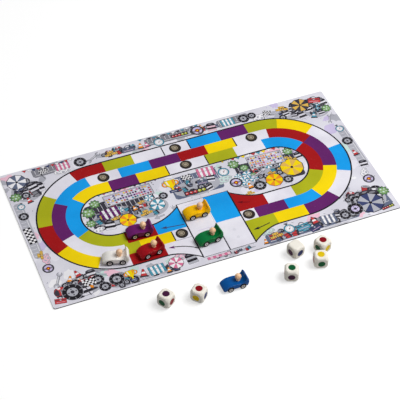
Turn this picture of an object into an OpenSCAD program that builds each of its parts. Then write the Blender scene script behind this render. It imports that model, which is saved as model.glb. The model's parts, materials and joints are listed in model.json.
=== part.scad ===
// Folding race board with six rolling wooden cars and six colour dice
// Millimetres, +X along the board, +Y to its back edge, +Z up from the table

/* [Board] */
// Length of the open board
board_l = 690; // [620:5:760]
// Width of the open board
board_w = 360; // [330:5:420]
// Thickness of a panel's greyboard core
core_t = 2; // [1.5:0.1:3]
// Thickness of the printed face sheet
print_t = 0.2; // [0.15:0.05:0.4]
// Thickness of the plain backing sheet
backing_t = 0.2; // [0.15:0.05:0.4]
// Gap between two panels along a crease
crease_gap = 1; // [0.6:0.1:2]
// Width of the linen strip glued along a crease
strip_w = 10; // [6:1:20]
// Radius of the board's outer corners
corner_r = 4; // [1:0.5:8]

/* [Car body] */
// Length of a car
car_l = 50; // [46:1:60]
// Width of a car's body
car_w = 24; // [20:1:30]
// Height of the belly above the ground
belly_z = 5; // [4:0.5:6]
// Height of the bonnet above the ground
hood_h = 15.5; // [14:0.5:18]
// Height of the tail's ridge above the ground
tail_h = 24; // [21:0.5:27]
// Length of the nose's curved part
nose_l = 17; // [12:1:22]
// Height that the bonnet loses along the nose
nose_drop = 7; // [4:0.5:8]
// Radius of the rounded rear end
rear_r = 18; // [16:1:24]
// Height of the rear end's furthest point
rear_z = 13.5; // [12:0.5:16]
// Radius of the scoop that the driver sits in
scoop_r = 13.5; // [12:0.5:15]
// Height of the seat at the scoop's lowest point
seat_z = 14; // [13:0.5:15]
// Radius of the body's upright corners
plan_r = 3; // [1:0.5:5]

/* [Driver] */
// Distance from the rear end to the driver
driver_back = 18; // [16:0.5:20]
// Diameter of the driver's ball head
head_d = 12; // [10:0.5:14]
// Height of the head's centre above the seat
head_up = 9; // [8:0.5:12]
// Diameter of the driver's peg
peg_d = 8; // [6:0.5:9]
// Depth of the peg's hole below the seat
peg_depth = 7; // [5:0.5:8]
// Radial room around the peg in its hole
peg_clear = 0.05; // [0.02:0.01:0.1]

/* [Wheels] */
// Outer diameter of a wheel
wheel_d = 12; // [11:0.5:13]
// Width of a wheel
wheel_w = 4.6; // [3.5:0.1:5]
// Distance between the front and rear axles
wheelbase = 24; // [22:0.5:26]
// Distance from the rear end to the rear axle
rear_axle_back = 12.5; // [11:0.5:14]
// Diameter of an axle
axle_d = 3; // [2:0.25:4]
// Radial running clearance of an axle in the body
axle_clear = 0.08; // [0.04:0.01:0.1]
// Radial room between an axle and the wheel glued to it
hub_clear = 0.01; // [0.005:0.005:0.02]
// Radial room around a wheel in its well
well_room = 0.8; // [0.5:0.1:1.5]
// Side room between a wheel and the floor of its well
well_side = 0.7; // [0.4:0.1:1.2]
// Amount that a wheel stands out of the body's side
wheel_proud = 0.6; // [0:0.1:1.5]
// Diameter of the light rim in a wheel's face
rim_d = 7; // [6:0.5:8]
// Depth of the dished rim
rim_depth = 0.6; // [0.3:0.1:1]
// Chamfer on a wheel's running edges
tyre_chamfer = 0.6; // [0.3:0.1:1]
// Running gap between a wheel and what it rolls on
wheel_lift = 0.1; // [0.05:0.05:0.3]

/* [Dice] */
// Side of a die
die_a = 26; // [22:0.5:28]
// Radius of a die's edges
die_r = 4.5; // [2:0.5:5]
// Radius of the ball that a die's corners are turned to
die_ball_r = 17.8; // [17:0.1:20]

/* [Layout] */
// White car: place from the board's centre in X and Y, and heading
white_spot = [-205, -111, 164]; // [-300:1:300]
// Red car: place from the board's centre in X and Y, and heading
red_spot = [-139, -116, 188]; // [-300:1:300]
// Purple car: place from the board's centre in X and Y, and heading
purple_spot = [-142, -63.5, 175]; // [-300:1:300]
// Yellow car: place from the board's centre in X and Y, and heading
yellow_spot = [-25, -56, 180]; // [-300:1:300]
// Green car: place from the board's centre in X and Y, and heading
green_spot = [-27, -126, 186]; // [-300:1:300]
// Blue car: place along the board, distance ahead of its front edge, and heading
blue_spot = [-25.5, 65, 181]; // [-300:1:300]
// First die: place along the board, distance ahead of its front edge, and turn
die_1_spot = [-154, 58, 34]; // [-300:1:300]
// Second die
die_2_spot = [-95, 68, 43]; // [-300:1:300]
// Third die
die_3_spot = [109, 34, 18]; // [-300:1:300]
// Fourth die
die_4_spot = [160, 41.5, 23]; // [-300:1:300]
// Fifth die
die_5_spot = [141.5, 73, -16]; // [-300:1:300]
// Sixth die
die_6_spot = [79, 83, -23]; // [-300:1:300]

/* [Hidden] */
$fn = 64;
eps = 0.01;
board_t = backing_t + core_t + print_t;
print_z = backing_t + core_t;
hub_z = wheel_d / 2 + wheel_lift;
well_r = wheel_d / 2 + well_room;
well_depth = wheel_w - wheel_proud + well_side;
wheel_out = car_w / 2 + wheel_proud;
rear_axle_x = rear_axle_back - car_l / 2;
front_axle_x = rear_axle_x + wheelbase;
driver_x = driver_back - car_l / 2;
nose_r = (nose_l * nose_l + nose_drop * nose_drop) / (2 * nose_drop);
nose_x = car_l / 2 - nose_l;
// How far a cut runs past the face that it opens
cut_past = wheel_w / 4;

car_names = ["white", "red", "purple", "yellow", "green", "blue"];
car_spots = [white_spot, red_spot, purple_spot, yellow_spot, green_spot, blue_spot];
car_colours = ["gainsboro", "firebrick", "purple", "gold", "seagreen", "royalblue"];
table_car = len(car_names) - 1;
die_spots = [die_1_spot, die_2_spot, die_3_spot, die_4_spot, die_5_spot, die_6_spot];
panel_names = ["left_front", "right_front", "left_back", "right_back"];
panel_signs = [[-1, -1], [1, -1], [-1, 1], [1, 1]];
panel_layers = ["core", "print", "backing"];
car_pieces = ["body", "driver", "front_axle", "rear_axle", "front_wheels", "rear_wheels"];

// How far the loose pieces reach in front of the board's front edge
function die_reach(turn) = (die_a / 2 - die_r) * (abs(cos(turn)) + abs(sin(turn))) + die_r;
function car_reach(turn) = car_l / 2 * abs(sin(turn)) + wheel_out * abs(cos(turn));
loose_reach = max(concat(
    [for (spot = die_spots) spot[1] + die_reach(spot[2])],
    [blue_spot[1] + car_reach(blue_spot[2])]
));
// The whole set is centred on the origin, so the board lies behind it by half of that reach
board_y = loose_reach / 2;
front_edge_y = board_y - board_w / 2;

// Panel outline in the +X +Y quarter, set back from the two creases, with the outer corner rounded
module panel_outline(back_x, back_y) {
    far_x = board_l / 2;
    far_y = board_w / 2;
    translate([back_x, back_y]) square([far_x - corner_r - back_x, far_y - back_y]);
    translate([back_x, back_y]) square([far_x - back_x, far_y - corner_r - back_y]);
    translate([far_x - corner_r, far_y - corner_r]) circle(corner_r);
}

// Moves a quarter panel to its own side of the creases
module to_quarter(signs) {
    translate([0, board_y, 0])
        mirror([signs[0] < 0 ? 1 : 0, 0, 0])
            mirror([0, signs[1] < 0 ? 1 : 0, 0])
                children();
}

module panel_core(signs) {
    color("darkgray")
        to_quarter(signs)
            translate([0, 0, backing_t])
                linear_extrude(core_t)
                    panel_outline(crease_gap / 2, crease_gap / 2);
}

// The face sheet stops at the strip along the long crease
module panel_print(signs) {
    color("lavender")
        to_quarter(signs)
            translate([0, 0, print_z])
                linear_extrude(print_t)
                    panel_outline(crease_gap / 2, strip_w / 2);
}

// The front panels' backing stops at the strip along the short crease
module panel_backing(signs) {
    color("slategray")
        to_quarter(signs)
            linear_extrude(backing_t)
                panel_outline(signs[1] < 0 ? strip_w / 2 : crease_gap / 2, crease_gap / 2);
}

// Face strip along one half of the long crease, for the faces that fold together
module face_strip(side) {
    color("thistle")
        translate([side > 0 ? crease_gap / 2 : -board_l / 2, board_y - strip_w / 2, print_z])
            cube([board_l / 2 - crease_gap / 2, strip_w, print_t]);
}

// Underside strip along the front half of the short crease, for the backs that fold together
module back_strip() {
    color("dimgray")
        translate([-strip_w / 2, front_edge_y, 0])
            cube([strip_w, board_w / 2 - crease_gap / 2, backing_t]);
}

// Side outline of the bonnet, with its top falling in one arc to the nose
module hood_side() {
    translate([-car_l / 2, belly_z]) square([car_l - nose_l, hood_h - belly_z]);
    intersection() {
        translate([nose_x, hood_h - nose_r]) circle(nose_r, $fn = 128);
        translate([nose_x - eps, belly_z]) square([nose_l + eps, hood_h - belly_z]);
    }
}

// Side outline of the whole car, with a kicked-up tail behind the driver's scoop
module car_side() {
    difference() {
        intersection() {
            union() {
                hood_side();
                translate([-car_l / 2, belly_z]) square([driver_back, tail_h - belly_z]);
            }
            union() {
                translate([-car_l / 2 + rear_r, rear_z]) circle(rear_r, $fn = 128);
                translate([-car_l / 2 + rear_r, 0]) square([car_l, tail_h + cut_past]);
            }
        }
        translate([driver_x, seat_z + scoop_r]) circle(scoop_r, $fn = 128);
    }
}

// Outline of the car from above, with rounded corners
module car_plan() {
    translate([-car_l / 2 + plan_r, -car_w / 2]) square([car_l - 2 * plan_r, car_w]);
    translate([-car_l / 2, -car_w / 2 + plan_r]) square([car_l, car_w - 2 * plan_r]);
    for (x = [-1, 1], y = [-1, 1])
        translate([x * (car_l / 2 - plan_r), y * (car_w / 2 - plan_r)]) circle(plan_r);
}

// Round well in each side for a wheel
module wheel_wells(axle_x) {
    for (side = [-1, 1])
        translate([axle_x, side * (car_w / 2 - well_depth), hub_z])
            rotate([-90 * side, 0, 0])
                cylinder(r = well_r, h = well_depth + cut_past);
}

// Bore from side to side for an axle
module axle_bore(axle_x) {
    translate([axle_x, 0, hub_z])
        rotate([90, 0, 0])
            cylinder(r = axle_d / 2 + axle_clear, h = car_w + 2 * cut_past, center = true);
}

module car_body(colour) {
    color(colour)
        difference() {
            intersection() {
                rotate([90, 0, 0]) linear_extrude(car_w, center = true) car_side();
                linear_extrude(tail_h + cut_past) car_plan();
            }
            for (axle_x = [rear_axle_x, front_axle_x]) {
                wheel_wells(axle_x);
                axle_bore(axle_x);
            }
            translate([driver_x, 0, seat_z - peg_depth])
                cylinder(d = peg_d + 2 * peg_clear, h = tail_h);
        }
}

// Turned peg with a ball head, standing on the floor of its hole
module car_driver() {
    color("burlywood")
        translate([driver_x, 0, seat_z - peg_depth]) {
            cylinder(d = peg_d, h = peg_depth + head_up);
            translate([0, 0, peg_depth + head_up]) sphere(d = head_d);
        }
}

// Axle that ends flush with the floors of both rims
module car_axle(axle_x) {
    color("dimgray")
        translate([axle_x, 0, hub_z])
            rotate([90, 0, 0])
                cylinder(d = axle_d, h = 2 * (wheel_out - rim_depth), center = true);
}

// Half section of a wheel, from its axle outwards, with its inner face at zero
module wheel_section() {
    inner = axle_d / 2 + hub_clear;
    outer = wheel_d / 2;
    polygon([
        [inner, 0],
        [outer - tyre_chamfer, 0],
        [outer, tyre_chamfer],
        [outer, wheel_w - tyre_chamfer],
        [outer - tyre_chamfer, wheel_w],
        [rim_d / 2 + rim_depth / 2, wheel_w],
        [rim_d / 2, wheel_w - rim_depth],
        [inner, wheel_w - rim_depth]
    ]);
}

// Both wheels of one axle
module car_wheels(axle_x) {
    color("black")
        for (side = [-1, 1])
            translate([axle_x, side * (wheel_out - wheel_w), hub_z])
                rotate([-90 * side, 0, 0])
                    rotate_extrude() wheel_section();
}

// Stands a car on the board, or the last one on the table in front of it
module at_car(index) {
    spot = car_spots[index];
    loose = index == table_car;
    translate([spot[0], loose ? front_edge_y - spot[1] : board_y + spot[1], loose ? 0 : board_t])
        rotate([0, 0, spot[2]])
            children();
}

// Square with rounded corners, the same from all three sides of a die
module die_face() {
    half = die_a / 2;
    translate([-half + die_r, -half]) square([die_a - 2 * die_r, die_a]);
    translate([-half, -half + die_r]) square([die_a, die_a - 2 * die_r]);
    for (x = [-1, 1], y = [-1, 1])
        translate([x * (half - die_r), y * (half - die_r)]) circle(die_r);
}

module die(spot) {
    color("ivory")
        translate([spot[0], front_edge_y - spot[1], die_a / 2])
            rotate([0, 0, spot[2]])
                intersection() {
                    linear_extrude(die_a, center = true) die_face();
                    rotate([90, 0, 0]) linear_extrude(die_a, center = true) die_face();
                    rotate([0, 90, 0]) linear_extrude(die_a, center = true) die_face();
                    sphere(die_ball_r);
                }
}

for (i = [0 : len(panel_names) - 1]) {
    panel_core(panel_signs[i]);
    panel_print(panel_signs[i]);
    panel_backing(panel_signs[i]);
}
face_strip(-1);  // left_strip
face_strip(1);  // right_strip
back_strip();  // centre_strip
for (i = [0 : len(car_names) - 1]) {
    car = str(car_names[i], "_car_");
    at_car(i) car_body(car_colours[i]);
    at_car(i) car_driver();
    at_car(i) car_axle(front_axle_x);
    at_car(i) car_axle(rear_axle_x);
    at_car(i) car_wheels(front_axle_x);
    at_car(i) car_wheels(rear_axle_x);
}
for (i = [0 : len(die_spots) - 1]) {
    die(die_spots[i]);
}
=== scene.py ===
import json
import math
import random

import bpy
import bmesh
from mathutils import Matrix, Vector
from mathutils.geometry import delaunay_2d_cdt

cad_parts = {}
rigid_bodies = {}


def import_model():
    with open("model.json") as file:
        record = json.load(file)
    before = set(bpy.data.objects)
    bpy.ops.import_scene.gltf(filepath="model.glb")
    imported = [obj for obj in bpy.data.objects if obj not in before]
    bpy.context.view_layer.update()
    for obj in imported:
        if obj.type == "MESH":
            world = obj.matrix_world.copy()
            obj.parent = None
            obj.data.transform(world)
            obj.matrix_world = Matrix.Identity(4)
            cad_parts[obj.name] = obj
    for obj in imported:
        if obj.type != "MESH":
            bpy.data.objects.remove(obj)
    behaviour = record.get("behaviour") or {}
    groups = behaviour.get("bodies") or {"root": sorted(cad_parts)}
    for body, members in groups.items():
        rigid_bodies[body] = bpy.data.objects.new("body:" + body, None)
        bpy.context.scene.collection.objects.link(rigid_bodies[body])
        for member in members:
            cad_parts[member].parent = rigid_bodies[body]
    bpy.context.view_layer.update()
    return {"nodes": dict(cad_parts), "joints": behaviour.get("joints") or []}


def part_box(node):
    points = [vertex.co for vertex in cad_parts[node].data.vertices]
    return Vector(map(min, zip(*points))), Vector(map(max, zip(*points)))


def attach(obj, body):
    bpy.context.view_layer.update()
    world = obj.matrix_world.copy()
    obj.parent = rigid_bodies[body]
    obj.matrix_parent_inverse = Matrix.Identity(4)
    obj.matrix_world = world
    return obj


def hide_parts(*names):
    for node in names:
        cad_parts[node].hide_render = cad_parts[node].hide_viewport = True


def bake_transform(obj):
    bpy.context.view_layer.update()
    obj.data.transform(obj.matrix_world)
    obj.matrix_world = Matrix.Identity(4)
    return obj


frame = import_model()
mm = 0.001
joints = {joint["name"]: joint for joint in frame["joints"]}
print("frame loaded:", len(frame["nodes"]), "nodes")


def printInk(r, g, b):  # a printed 0-255 colour as the shader's linear colour
    def channel(v):
        v /= 255
        return v / 12.92 if v <= 0.04045 else ((v + 0.055) / 1.055) ** 2.4
    return (channel(r), channel(g), channel(b), 1.0)


def toned(ink, by, lift=0.0):  # the same ink, darker or lighter
    return tuple(min(1.0, channel * by + lift) for channel in ink[:3]) + (1.0,)


def wire(tree, node, values):  # links or sets a node's sockets
    for key, value in values.items():
        if isinstance(value, bpy.types.NodeSocket):
            tree.links.new(value, node.inputs[key])
        else:
            node.inputs[key].default_value = value


def put(tree, kind, values=None, **props):  # one new node
    made = tree.nodes.new(kind)
    for key, value in props.items():
        setattr(made, key, value)
    wire(tree, made, values or {})
    return made


def got(tree, kind, values=None, **props):  # the first output of a new node
    return put(tree, kind, values, **props).outputs[0]


def sums(tree, operation, a, b, clamp=False):
    return got(tree, "ShaderNodeMath", {0: a, 1: b}, operation=operation, use_clamp=clamp)


def plus(tree, a, b):
    return sums(tree, "ADD", a, b)


def minus(tree, a, b):
    return sums(tree, "SUBTRACT", a, b)


def times(tree, a, b):
    return sums(tree, "MULTIPLY", a, b)


def vectors(tree, operation, a, b=(0.0, 0.0, 0.0), output="Vector"):
    return put(tree, "ShaderNodeVectorMath", {0: a, 1: b}, operation=operation).outputs[output]


def triple(tree, x=0.0, y=0.0, z=0.0):
    return got(tree, "ShaderNodeCombineXYZ", {0: x, 1: y, 2: z})


def axesOf(tree, place):
    return put(tree, "ShaderNodeSeparateXYZ", {0: place}).outputs


def noise(tree, place, scale, detail, distortion=0.0):
    values = {"Vector": place, "Scale": scale, "Detail": detail, "Distortion": distortion}
    return got(tree, "ShaderNodeTexNoise", values)


def mixInk(tree, factor, a, b, mode="MIX"):
    return put(tree, "ShaderNodeMix", {0: factor, 6: a, 7: b}, data_type="RGBA", blend_type=mode).outputs[2]


def spread(tree, value, low, high, newLow=0.0, newHigh=1.0):  # smooth step between two values
    values = {"Value": value, "From Min": low, "From Max": high, "To Min": newLow, "To Max": newHigh}
    return got(tree, "ShaderNodeMapRange", values, interpolation_type="SMOOTHSTEP")


def shaderGroup(name, inputs, outputs):  # an input without a number is a vector
    tree = bpy.data.node_groups.new(name, "ShaderNodeTree")
    for label, value in inputs.items():
        kind = "NodeSocketVector" if value is None else "NodeSocketFloat"
        socket = tree.interface.new_socket(label, in_out="INPUT", socket_type=kind)
        if value is not None:
            socket.default_value = value
    for label in outputs:
        tree.interface.new_socket(label, in_out="OUTPUT", socket_type="NodeSocketFloat")
    return tree, put(tree, "NodeGroupInput").outputs, put(tree, "NodeGroupOutput")


def paperGrain():  # cloudy tone, fibres and the fine embossed weave of game-board paper
    inputs = {"Vector": None, "Fibre Scale": 900.0, "Weave Scale": 420.0, "Weave": 0.5}
    tree, given, result = shaderGroup("paperGrain", inputs, ["Tone", "Height"])
    place = given["Vector"]
    cloud = noise(tree, place, 14.0, 5.0)
    fibre = noise(tree, place, given["Fibre Scale"], 3.0)
    threads = []
    for way in ("X", "Y"):
        values = {"Vector": place, "Scale": given["Weave Scale"], "Distortion": 0.6, "Detail": 1.0}
        threads.append(put(tree, "ShaderNodeTexWave", values, bands_direction=way).outputs["Fac"])
    weave = sums(tree, "MAXIMUM", *threads)
    tone = plus(tree, times(tree, cloud, 0.7), times(tree, fibre, 0.3))
    fibreShare = times(tree, fibre, minus(tree, 1.0, given["Weave"]))
    height = plus(tree, times(tree, weave, given["Weave"]), fibreShare)
    wire(tree, result, {"Tone": tone, "Height": height})
    return tree


def woodGrain():  # long streaks along X with a finer pore pattern
    inputs = {"Vector": None, "Scale": 320.0, "Length": 9.0}
    tree, given, result = shaderGroup("woodGrain", inputs, ["Grain", "Height"])
    axes = axesOf(tree, given["Vector"])
    along = triple(tree, sums(tree, "DIVIDE", axes[0], given["Length"]), axes[1], axes[2])
    streak = noise(tree, along, given["Scale"], 5.0, 0.4)
    pore = noise(tree, along, times(tree, given["Scale"], 4.0), 2.0)
    grain = spread(tree, streak, 0.32, 0.68)
    wire(tree, result, {"Grain": grain, "Height": plus(tree, streak, times(tree, pore, 0.4))})
    return tree


def edgeWear():  # where the edge mark of the mesh meets a coarse noise
    inputs = {"Edge": 0.0, "Vector": None, "Scale": 520.0, "Amount": 0.5}
    tree, given, result = shaderGroup("edgeWear", inputs, ["Wear"])
    chips = noise(tree, given["Vector"], given["Scale"], 4.0)
    worn = times(tree, spread(tree, chips, 0.48, 0.72), given["Edge"])
    wire(tree, result, {"Wear": sums(tree, "MULTIPLY", worn, given["Amount"], True)})
    return tree


def handling():  # soft smudges that change the shine, and fine specks
    tree, given, result = shaderGroup("handling", {"Vector": None, "Scale": 40.0}, ["Smudge", "Speck"])
    smudge = noise(tree, given["Vector"], given["Scale"], 3.0)
    speck = noise(tree, given["Vector"], times(tree, given["Scale"], 22.0), 1.0)
    wire(tree, result, {"Smudge": spread(tree, smudge, 0.3, 0.7), "Speck": spread(tree, speck, 0.66, 0.74)})
    return tree


paperGroup, woodGroup, wearGroup, handlingGroup = paperGrain(), woodGrain(), edgeWear(), handling()


def newFinish(name):
    finish = bpy.data.materials.new(name)
    finish.use_nodes = True
    finish.node_tree.nodes.clear()
    return finish, finish.node_tree


def pieceFinish(name):
    finish, tree = newFinish(name)
    shader = put(tree, "ShaderNodeBsdfPrincipled")
    put(tree, "ShaderNodeOutputMaterial", {"Surface": shader.outputs[0]})
    return finish, tree, shader, put(tree, "ShaderNodeTexCoord").outputs["Object"]


def useGroup(tree, group, values):
    return put(tree, "ShaderNodeGroup", values, node_tree=group).outputs


def handled(tree, place, scale):
    return useGroup(tree, handlingGroup, {"Vector": place, "Scale": scale})


def shineOf(tree, hands, low, high):
    return spread(tree, hands["Smudge"], 0.0, 1.0, low, high)


def bump(tree, height, strength, depth):
    return got(tree, "ShaderNodeBump", {"Height": height, "Strength": strength, "Distance": depth})


def sheetFinish(name, weaveScale, weave, strength, ink=None):  # printed paper, or paper of one ink
    finish, tree, shader, place = pieceFinish(name)
    paper = useGroup(tree, paperGroup, {"Vector": place, "Weave Scale": weaveScale, "Weave": weave})
    hands = handled(tree, place, 18.0)
    colour = ink or put(tree, "ShaderNodeAttribute", attribute_name="ink").outputs["Color"]
    deep = mixInk(tree, 1.0, colour, printInk(236, 235, 238), "MULTIPLY")
    cloudy = mixInk(tree, spread(tree, paper["Tone"], 0.35, 0.65), deep, colour)
    specked = mixInk(tree, times(tree, hands["Speck"], 0.03), cloudy, printInk(245, 244, 240))
    wire(tree, shader, {
        "Base Color": specked, "Roughness": shineOf(tree, hands, 0.46, 0.58), "Specular IOR Level": 0.06,
        "Normal": bump(tree, paper["Height"], strength, 0.00008)})
    return finish


def paintFinish(name, colour, streak, turn=0.0, wood=(222, 186, 140), shine=0.34, coat=0.06, wear=0.22,
                depth=0.05):  # paint over wood, rubbed at the edges
    finish, tree, shader, place = pieceFinish(name)
    turned = got(tree, "ShaderNodeMapping", {"Vector": place, "Rotation": (0.0, 0.0, -turn)})
    grain = useGroup(tree, woodGroup, {"Vector": turned, "Scale": 620.0, "Length": 14.0})
    hands = handled(tree, place, 90.0)
    edge = put(tree, "ShaderNodeAttribute", attribute_name="edge").outputs["Fac"]
    rubbed = useGroup(tree, wearGroup, {"Edge": edge, "Vector": place, "Amount": wear})["Wear"]
    base = printInk(*colour)
    streaked = mixInk(tree, grain["Grain"], toned(base, streak), base)
    bare = mixInk(tree, rubbed, streaked, printInk(*wood))
    rough = plus(tree, shineOf(tree, hands, shine, shine + 0.1), times(tree, rubbed, 0.3))
    wire(tree, shader, {
        "Base Color": bare, "Roughness": rough, "Specular IOR Level": 0.07, "Coat Weight": coat,
        "Coat Roughness": 0.2, "Normal": bump(tree, grain["Height"], depth, 0.0002)})
    return finish


def woodFinish(name, light, dark, scale, shine):  # clear-varnished wood with upright grain
    finish, tree, shader, place = pieceFinish(name)
    upright = got(tree, "ShaderNodeMapping", {"Vector": place, "Rotation": (0.0, math.pi / 2, 0.0)})
    grain = useGroup(tree, woodGroup, {"Vector": upright, "Scale": scale, "Length": 7.0})
    hands = handled(tree, place, 110.0)
    colour = mixInk(tree, grain["Grain"], printInk(*dark), printInk(*light))
    wire(tree, shader, {
        "Base Color": colour, "Roughness": shineOf(tree, hands, shine, shine + 0.12), "Coat Weight": 0.2,
        "Coat Roughness": 0.25, "Normal": bump(tree, grain["Height"], 0.15, 0.0002)})
    return finish


def plainFinish(name, colour, shine, metal=0.0, scale=500.0, gloss=0.2):  # even paint, rubber or steel
    finish, tree, shader, place = pieceFinish(name)
    hands = handled(tree, place, scale / 6)
    fine = noise(tree, place, scale, 3.0)
    base = printInk(*colour)
    tone = mixInk(tree, spread(tree, fine, 0.3, 0.7), base, toned(base, 1.12, 0.002))
    wire(tree, shader, {
        "Base Color": tone, "Roughness": shineOf(tree, hands, shine, shine + 0.12),
        "Specular IOR Level": gloss, "Metallic": metal, "Normal": bump(tree, fine, 0.2, 0.00008)})
    return finish


def paintedShadeBoardFinish(name):  # cut board edge: pressed plies, fibres and flecks, in greys darker than bare grey card as painted shade on the edge
    finish, tree, shader, place = pieceFinish(name)
    axes = axesOf(tree, place)
    plies = triple(tree, axes[0], axes[1], times(tree, axes[2], 24.0))
    layer = noise(tree, plies, 60.0, 5.0)
    hands = handled(tree, place, 60.0)
    # painted shade: the card's own ply pattern, in greys darkened well below its mid grey as if the edge
    # stood in shadow
    grey = mixInk(tree, spread(tree, layer, 0.35, 0.65), printInk(52, 51, 54), printInk(82, 80, 82))
    flecked = mixInk(tree, times(tree, hands["Speck"], 0.6), grey, printInk(128, 124, 120))
    wire(tree, shader, {
        "Base Color": flecked, "Roughness": shineOf(tree, hands, 0.82, 0.95),
        "Normal": bump(tree, layer, 0.5, 0.0003)})
    return finish


carPaints = {
    "white": (246, 243, 238), "red": (160, 8, 22), "purple": (108, 24, 106),
    "yellow": (255, 196, 0), "green": (0, 116, 58), "blue": (0, 84, 158),
}
spotPaints = {
    "red": (132, 2, 20), "yellow": (222, 190, 8), "green": (4, 84, 44), "blue": (22, 32, 90),
    "purple": (64, 20, 56),
}
printFinish = sheetFinish("boardPrint", 520.0, 0.45, 0.22)
stripFinish = sheetFinish("printedLinen", 480.0, 0.8, 0.45)
backingFinish = sheetFinish("backingPaper", 420.0, 0.6, 0.4, printInk(88, 94, 106))
clothFinish = sheetFinish("backingLinen", 380.0, 0.9, 0.8, printInk(58, 60, 66))
# board cores: real plies and flecks, with the edge greys darkened as painted shade
paintedShadeCoreFinish = paintedShadeBoardFinish("greyboard")
headings, carFinishes = {}, {}
for colour, tint in carPaints.items():
    axis = joints[colour + "_car_roll"]["axis"]
    headings[colour] = math.atan2(axis[1], axis[0])
    streak = 0.955 if colour == "white" else 0.9
    carFinishes[colour] = paintFinish(colour + "CarPaint", tint, streak, headings[colour])
headFinish = woodFinish("beechHead", (252, 212, 172), (238, 186, 140), 260.0, 0.36)
axleFinish = plainFinish("axleSteel", (104, 102, 100), 0.3, metal=1.0, scale=900.0)
wheelFinishes = {
    "Tyre Finish": plainFinish("tyreBlack", (16, 15, 16), 0.5, gloss=0.06),
    "Rim Finish": plainFinish("rimGrey", (214, 208, 204), 0.42),
}
dieFinishes = {"Wood Finish": paintFinish(
    "dieWhite", (246, 241, 230), 0.96, wood=(226, 212, 184), shine=0.36, coat=0.05, wear=0.15, depth=0.015)}
for colour, tint in spotPaints.items():
    dieFinishes[colour + " Finish"] = plainFinish(colour + "Spot", tint, 0.3, gloss=0.08)
print("finishes made:", len(bpy.data.materials))

inks = {
    "ground": (230, 229, 238), "paper": (250, 249, 252), "white": (241, 239, 248), "dark": (32, 30, 36),
    "red": (168, 22, 25), "sky": (25, 164, 244), "yellow": (255, 223, 10), "lime": (182, 186, 31),
    "purple": (102, 36, 106), "grey": (137, 137, 145), "steel": (184, 185, 194), "coal": (64, 62, 72),
    "teal": (81, 158, 182), "pink": (223, 121, 158), "rose": (244, 199, 216), "mint": (207, 231, 225),
    "leaf": (100, 145, 91), "moss": (147, 180, 119), "straw": (231, 188, 91), "orange": (248, 152, 44),
    "navy": (63, 72, 113), "lilac": (212, 201, 235), "slate": (104, 113, 137), "brick": (201, 66, 68),
    "sand": (172, 160, 138), "umber": (62, 54, 44), "wine": (112, 8, 22),
}
inkValues = {name: printInk(*tint) for name, tint in inks.items()}
art = []  # printed shapes in millimetres from the board's centre, the later ones on top


def turns(n):  # even angles of a full turn
    return [k * math.tau / n for k in range(n)]


def polar(r, angle, x=0.0, y=0.0, squash=1.0):
    return (x + r * math.cos(angle), y + squash * r * math.sin(angle))


def disc(r, x=0.0, y=0.0, n=22, squash=1.0):
    return [polar(r, a, x, y, squash) for a in turns(n)]


def bar(w, h, x=0.0, y=0.0):
    return [(x - w / 2, y - h / 2), (x + w / 2, y - h / 2), (x + w / 2, y + h / 2), (x - w / 2, y + h / 2)]


def moved(points, x, y, c, s):  # turned and scaled by c and s, then shifted
    return [(x + c * px - s * py, y + s * px + c * py) for px, py in points]


def anticlockwise(points):
    area = sum(a[0] * b[1] - b[0] * a[1] for a, b in zip(points, points[1:] + points[:1]))
    return points if area > 0 else points[::-1]


def outset(points, by):  # the same outline, moved outwards
    points, grown = anticlockwise(points), []
    for k, here in enumerate(points):
        before, after = Vector(points[k - 1]), Vector(points[(k + 1) % len(points)])
        a = (Vector(here) - before).normalized()
        b = (after - Vector(here)).normalized()
        normal = Vector((a.y + b.y, -a.x - b.x))
        reach = by / max(0.45, normal.length / 2)  # a sharp corner grows no further than this
        normal.normalize()
        grown.append((here[0] + normal.x * reach, here[1] + normal.y * reach))
    return grown


def penAt(x, y, size=1.0, turn=0.0):  # draws shapes round one point, with an outline where rim is given
    c, s = math.cos(math.radians(turn)) * size, math.sin(math.radians(turn)) * size

    def pen(points, ink, rim=0.0, rimInk="dark"):
        if rim:
            pen(outset(points, rim), rimInk)
        art.append((anticlockwise(moved(points, x, y, c, s)), ink))
    pen.size = size
    return pen


onBoard = penAt(0, 0)


def tyre(pen, hub="steel"):
    pen(disc(10), "dark", 0.5, "steel")
    for a in turns(8):
        pen(moved(bar(2.6, 0.9, 8.4), 0, 0, math.cos(a), math.sin(a)), "grey")
    pen(disc(5.4), hub, 0.5)
    pen(disc(2.0, n=12), "coal")
    for a in turns(4):
        pen(disc(0.8, *polar(3.7, a), 6), "dark")


def tyreStack(pen, band="white"):
    for k in range(4):
        y = k * 5.4 - 8
        side = [(-9, y - 2.4), (9, y - 2.4), (10, y), (9, y + 2.4), (-9, y + 2.4), (-10, y)]
        pen(side, "dark" if k % 2 else band, 0.5)
        pen(bar(15, 1.0, 0, y + 0.8), "coal" if k % 2 else "steel")
    pen(disc(9, 0, 11.4, 24, 0.36), "coal", 0.4)
    pen(disc(4.6, 0, 11.4, 18, 0.36), "grey")


def cone(pen, ink="orange"):
    pen(bar(13, 2.6, 0, -7), "coal", 0.4)
    pen([(-5, -5.6), (5, -5.6), (1.2, 8), (-1.2, 8)], ink, 0.5)
    pen([(-3.6, -1), (3.6, -1), (2.6, 2.6), (-2.6, 2.6)], "paper")


def pennants(x0, y0, x1, y1, count, colours, sag, size):
    def hung(t):  # a point on the sagging line
        return (x0 + (x1 - x0) * t, y0 + (y1 - y0) * t - sag * 4 * t * (1 - t))
    for k in range(count):
        a, b = hung(k / count), hung((k + 0.86) / count)
        low = ((a[0] + b[0]) / 2, (a[1] + b[1]) / 2 - size)
        onBoard([a, low, b], colours[k % len(colours)], 0.45, "coal")


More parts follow.
